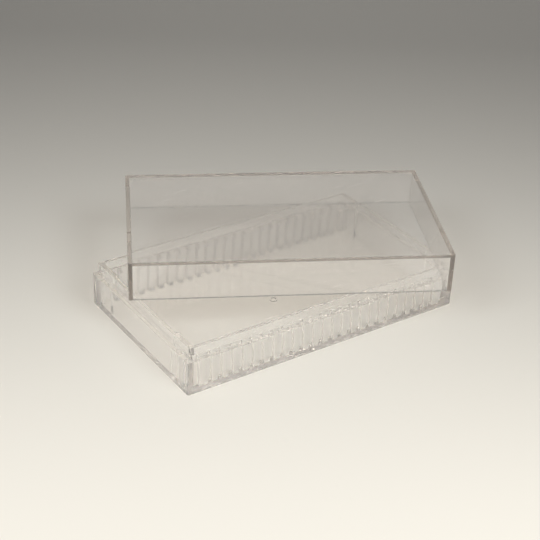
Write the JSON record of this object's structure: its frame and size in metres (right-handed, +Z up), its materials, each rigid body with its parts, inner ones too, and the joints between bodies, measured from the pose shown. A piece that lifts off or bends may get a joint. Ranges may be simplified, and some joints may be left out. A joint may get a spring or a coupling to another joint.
{
  "type": "microscope slide box",
  "caption": "Clear rectangular box with slotted long walls that hold microscope slides on edge, and a plain lift-off lid lying turned across the open tray.",
  "frame": {"origin": "middle of the tray's flat underside", "axes": "+X along the tray's long walls, +Y across it, +Z up out of the open tray"},
  "size_m": [0.162, 0.138, 0.0388],
  "materials": {
    "tray_plastic": "clear moulded polystyrene, glossy",
    "lid_plastic": "clear moulded polystyrene, glossy"
  },
  "bodies": {
    "tray": {"base_tray": "tray_plastic"},
    "lid": {"lid": "lid_plastic"}
  },
  "joints": [
    {"name": "lid_lift", "type": "slide", "parent": "tray", "child": "lid", "axis": [0, 0, 1], "range_m": [0, 0.06]}
  ]
}
